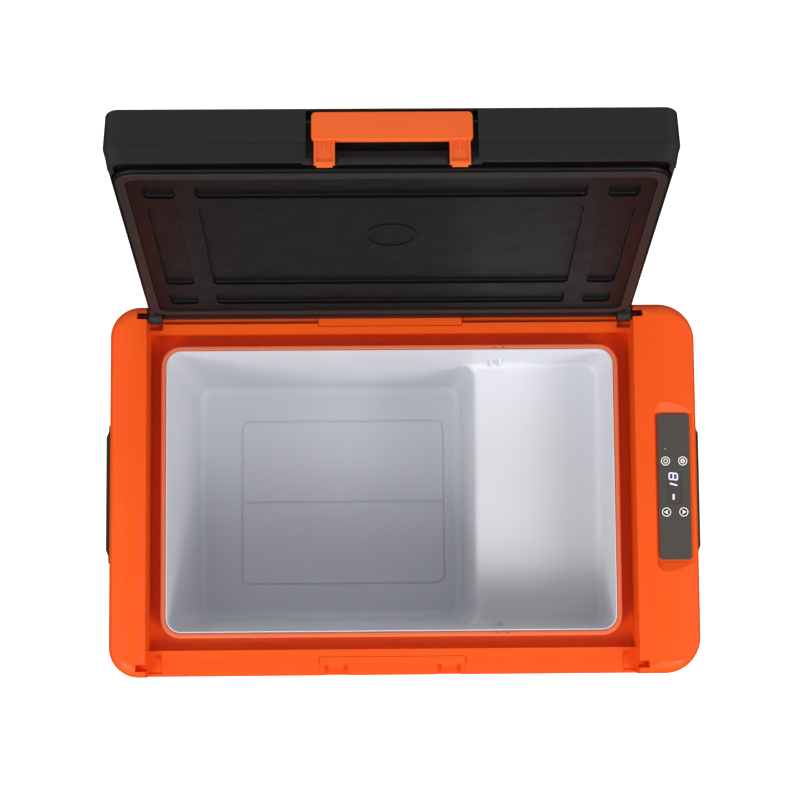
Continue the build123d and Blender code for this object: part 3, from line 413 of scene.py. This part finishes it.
# The figure shows through the smoked window: seven lit strokes for the eight, a slanted one
# and a minus, read with the case standing on its right-hand end.
lit_segment = ink("lit display segment", "c9cff0", glow=0.75)
window_low, window_high = (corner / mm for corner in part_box("display_module"))
figure_x, figure_y = window_low.x + 5.95, 9.95
segment, level, upright = 1.3, 5.6, 3.6
row, column, lean, half_lean = 4.0, 3.1, 0.35, 0.18
strokes = []
for step in (-1, 0, 1):
    strokes += bar(figure_x + row * step, figure_y - lean * step, segment, level)
for step in (-1, 1):
    for edge in (-column, column):
        strokes += bar(figure_x + row / 2 * step, figure_y - half_lean * step + edge, upright,
                       segment, -5)
slash_y, slash_length, slash_width = 2.1, 7.6, 1.5
minus_y, minus_width, minus_length = -10.2, 1.9, 5.4
strokes += bar(window_low.x + 6.0, slash_y, slash_length, slash_width, -15)
strokes += bar(window_low.x + 5.9, minus_y, minus_width, minus_length)
printed("display_figure", strokes, window_high.z, lit_segment, "cabinet")

run_lens = ink("green lamp lens", "8fa383", glow=0.15)
fault_lens = ink("amber lamp lens", "8a5a38", glow=0.05)
finish_nodes(run_lens, "light_run")
finish_nodes(fault_lens, "light_fault")


# ---- Carrying handles
# Folding bail handles in the same black plastic, each on a stepped base that two screws
# hold to the end wall. Two steel pins carry each bail.

finish_nodes(trim_plastic, "handle_left", "handle_right", "handle_base_left", "handle_base_right")
finish_nodes(steel, "handle_pin_left_front", "handle_pin_left_rear", "handle_pin_right_front",
             "handle_pin_right_rear")
plate_face, screw_lift = 291.0, 9
screw_columns = (-38, 38)
for word, side in (("left", -1), ("right", 1)):
    screw_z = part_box("handle_base_" + word)[0].z / mm + screw_lift
    places = [(side * plate_face, y, screw_z) for y in screw_columns]
    screws("handle_screws_" + word, places, (side, 0, 0), small_screw_radius, "cabinet", 21 + side)


# ---- Lid
# A black ABS cover with a coarser grain, an inner panel vacuum-formed in smoother black
# sheet, and a grey-brown vinyl gasket.

lid_plastic = moulded("black grained ABS", "1f1f1f", "232323", 0.5, 0.9, 0.03, gloss=0.3)
inner_sheet = moulded("black formed sheet", "0b0b0b", "0e0e0e", 0.45, 0.9, 0.02, gloss=0.2)
gasket_vinyl = moulded("soft gasket vinyl", "282423", "2f2a28", 0.5, 1.5, 0.02, gloss=0.25)
finish_nodes(lid_plastic, "lid_cover")
finish_nodes(inner_sheet, "lid_inner_panel")
finish_nodes(gasket_vinyl, "lid_gasket")
finish_nodes(trim_plastic, "hinge_pin_left", "hinge_pin_right", "latch_pin_left", "latch_pin_right")


# ---- Latch
# Orange like the case, but from a polished tool, so its face is smoother. Its colour is painted a
# little lighter than the case's: painted light. It turns on two pins in the lid, and a wound steel
# spring pulls it shut.

# ff6c28 is the case orange made lighter: painted light on the latch face.
latch_orange_painted_lighter = moulded("orange latch plastic", "ff6c28", "fb6622", 0.34, 0.5, 0.004, gloss=0.4)
finish_nodes(latch_orange_painted_lighter, "latch")


def spring_tree(finish):
    """The tree that winds a wire into a close coil along X."""
    tree = bpy.data.node_groups.new("wound spring", "GeometryNodeTree")
    for name in ("Turns", "Coil radius", "Wire radius", "Length"):
        tree.interface.new_socket(name, in_out="INPUT", socket_type="NodeSocketFloat")
    tree.interface.new_socket("Middle", in_out="INPUT", socket_type="NodeSocketVector")
    tree.interface.new_socket("Geometry", in_out="OUTPUT", socket_type="NodeSocketGeometry")
    given = add(tree, "NodeGroupInput").outputs
    helix = add(tree, "GeometryNodeCurveSpiral",
                {"Resolution": 28, "Rotations": given["Turns"], "Start Radius": given["Coil radius"],
                 "End Radius": given["Coil radius"], "Height": given["Length"]})
    wire = add(tree, "GeometryNodeCurvePrimitiveCircle", {"Resolution": 12,
                                                          "Radius": given["Wire radius"]})
    coil = add(tree, "GeometryNodeCurveToMesh", {"Curve": helix.outputs["Curve"],
                                                 "Profile Curve": wire.outputs["Curve"],
                                                 "Fill Caps": True})
    centred = add(tree, "GeometryNodeTransform",
                  {"Geometry": coil.outputs["Mesh"], "Rotation": (0, math.pi / 2, 0),
                   "Translation": given["Middle"]})
    real = add(tree, "GeometryNodeRealizeInstances", {"Geometry": centred.outputs["Geometry"]})
    coated = add(tree, "GeometryNodeSetMaterial", {"Geometry": real.outputs["Geometry"],
                                                   "Material": finish})
    add(tree, "NodeGroupOutput", {"Geometry": coated.outputs["Geometry"]})
    return tree


spring_low, spring_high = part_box("latch_spring")
spring = show("latch_spring_coil", bpy.data.meshes.new("latch_spring_coil"))
winder = spring.modifiers.new("winding", "NODES")
winder.node_group = spring_tree(steel)
wire_start = (spring_low.x + 0.5 * mm, (spring_low.y + spring_high.y) / 2,
              (spring_low.z + spring_high.z) / 2)
for name, value in (("Turns", 5.0), ("Coil radius", 2.1 * mm), ("Wire radius", 0.4 * mm),
                    ("Length", 5.0 * mm), ("Middle", wire_start)):
    winder[socket_id(winder.node_group, name)] = value
settle(spring)
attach(spring, "lid")
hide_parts("latch_spring")


# ---- Studio
# A white sweep, two equal soft boxes high in front to the left and right, and a white room
# that is dimmer overhead, so walls are bright and level faces a little darker.

def lamp(name, place, target, width, height, power):
    """A rectangular soft box that faces a point."""
    data = bpy.data.lights.new(name, "AREA")
    data.shape = "RECTANGLE"
    data.size = width
    data.size_y = height
    data.energy = power
    box = bpy.data.objects.new(name, data)
    box.location = place
    box.rotation_euler = (Vector(target) - Vector(place)).to_track_quat("-Z", "Y").to_euler()
    bpy.context.scene.collection.objects.link(box)


def floor_sheet():
    """A pale sweep under the object."""
    half = 4.0
    mesh = bpy.data.meshes.new("studio_floor")
    corners = [(-half, -half, 0), (half, -half, 0), (half, half, 0), (-half, half, 0)]
    mesh.from_pydata(corners, [], [(0, 1, 2, 3)])
    sheet = bpy.data.objects.new("studio_floor", mesh)
    bpy.context.scene.collection.objects.link(sheet)
    paper, tree = blank("white studio paper")
    shader = add(tree, "ShaderNodeBsdfPrincipled", {"Base Color": linear("f6f6f6"), "Roughness": 0.9,
                                                    "Specular IOR Level": 0.0,
                                                    "Emission Color": linear("ffffff"),
                                                    "Emission Strength": 0.72})
    add(tree, "ShaderNodeOutputMaterial", {"Surface": shader.outputs["BSDF"]})
    mesh.materials.append(paper)
    sheet.visible_diffuse = False
    sheet.visible_glossy = False


floor_sheet()
box_size, box_power = 1.3, 39
for word, side in (("left", -1), ("right", 1)):
    lamp(f"front {word} softbox", (1.6 * side, -1.55, 2.25), (0, 0, 0.3), box_size, box_size, box_power)
world = bpy.data.worlds.new("studio air")
world.use_nodes = True
air = world.node_tree
direction = add(air, "ShaderNodeTexCoord").outputs["Generated"]
height = add(air, "ShaderNodeSeparateXYZ", {"Vector": direction}).outputs["Z"]
below = add(air, "ShaderNodeMapRange", {"Value": height, "From Min": -0.25, "From Max": -0.02,
                                        "To Min": 0.03, "To Max": 1.0}).outputs["Result"]
above = add(air, "ShaderNodeMapRange", {"Value": height, "From Min": 0.5, "From Max": 0.95,
                                        "To Min": 0.8, "To Max": 0.3}).outputs["Result"]
strength = add(air, "ShaderNodeMath", {0: below, 1: above}, operation="MULTIPLY").outputs["Value"]
air.links.new(strength, air.nodes["Background"].inputs["Strength"])
air.nodes["Background"].inputs["Color"].default_value = linear("f6f4f2")
bpy.context.scene.world = world
bpy.context.scene.view_settings.view_transform = "Standard"

camera_data = bpy.data.cameras.new("camera")
camera_data.lens = 85.83
camera_data.sensor_width = 36.0
camera_data.clip_start = 0.05
camera = bpy.data.objects.new("camera", camera_data)
camera.location = (-0.02772, -0.09751, 2.21081)
camera.rotation_euler = Euler([math.radians(a) for a in (5.6439, -0.7000, -0.4670)])
bpy.context.scene.collection.objects.link(camera)
bpy.context.scene.camera = camera
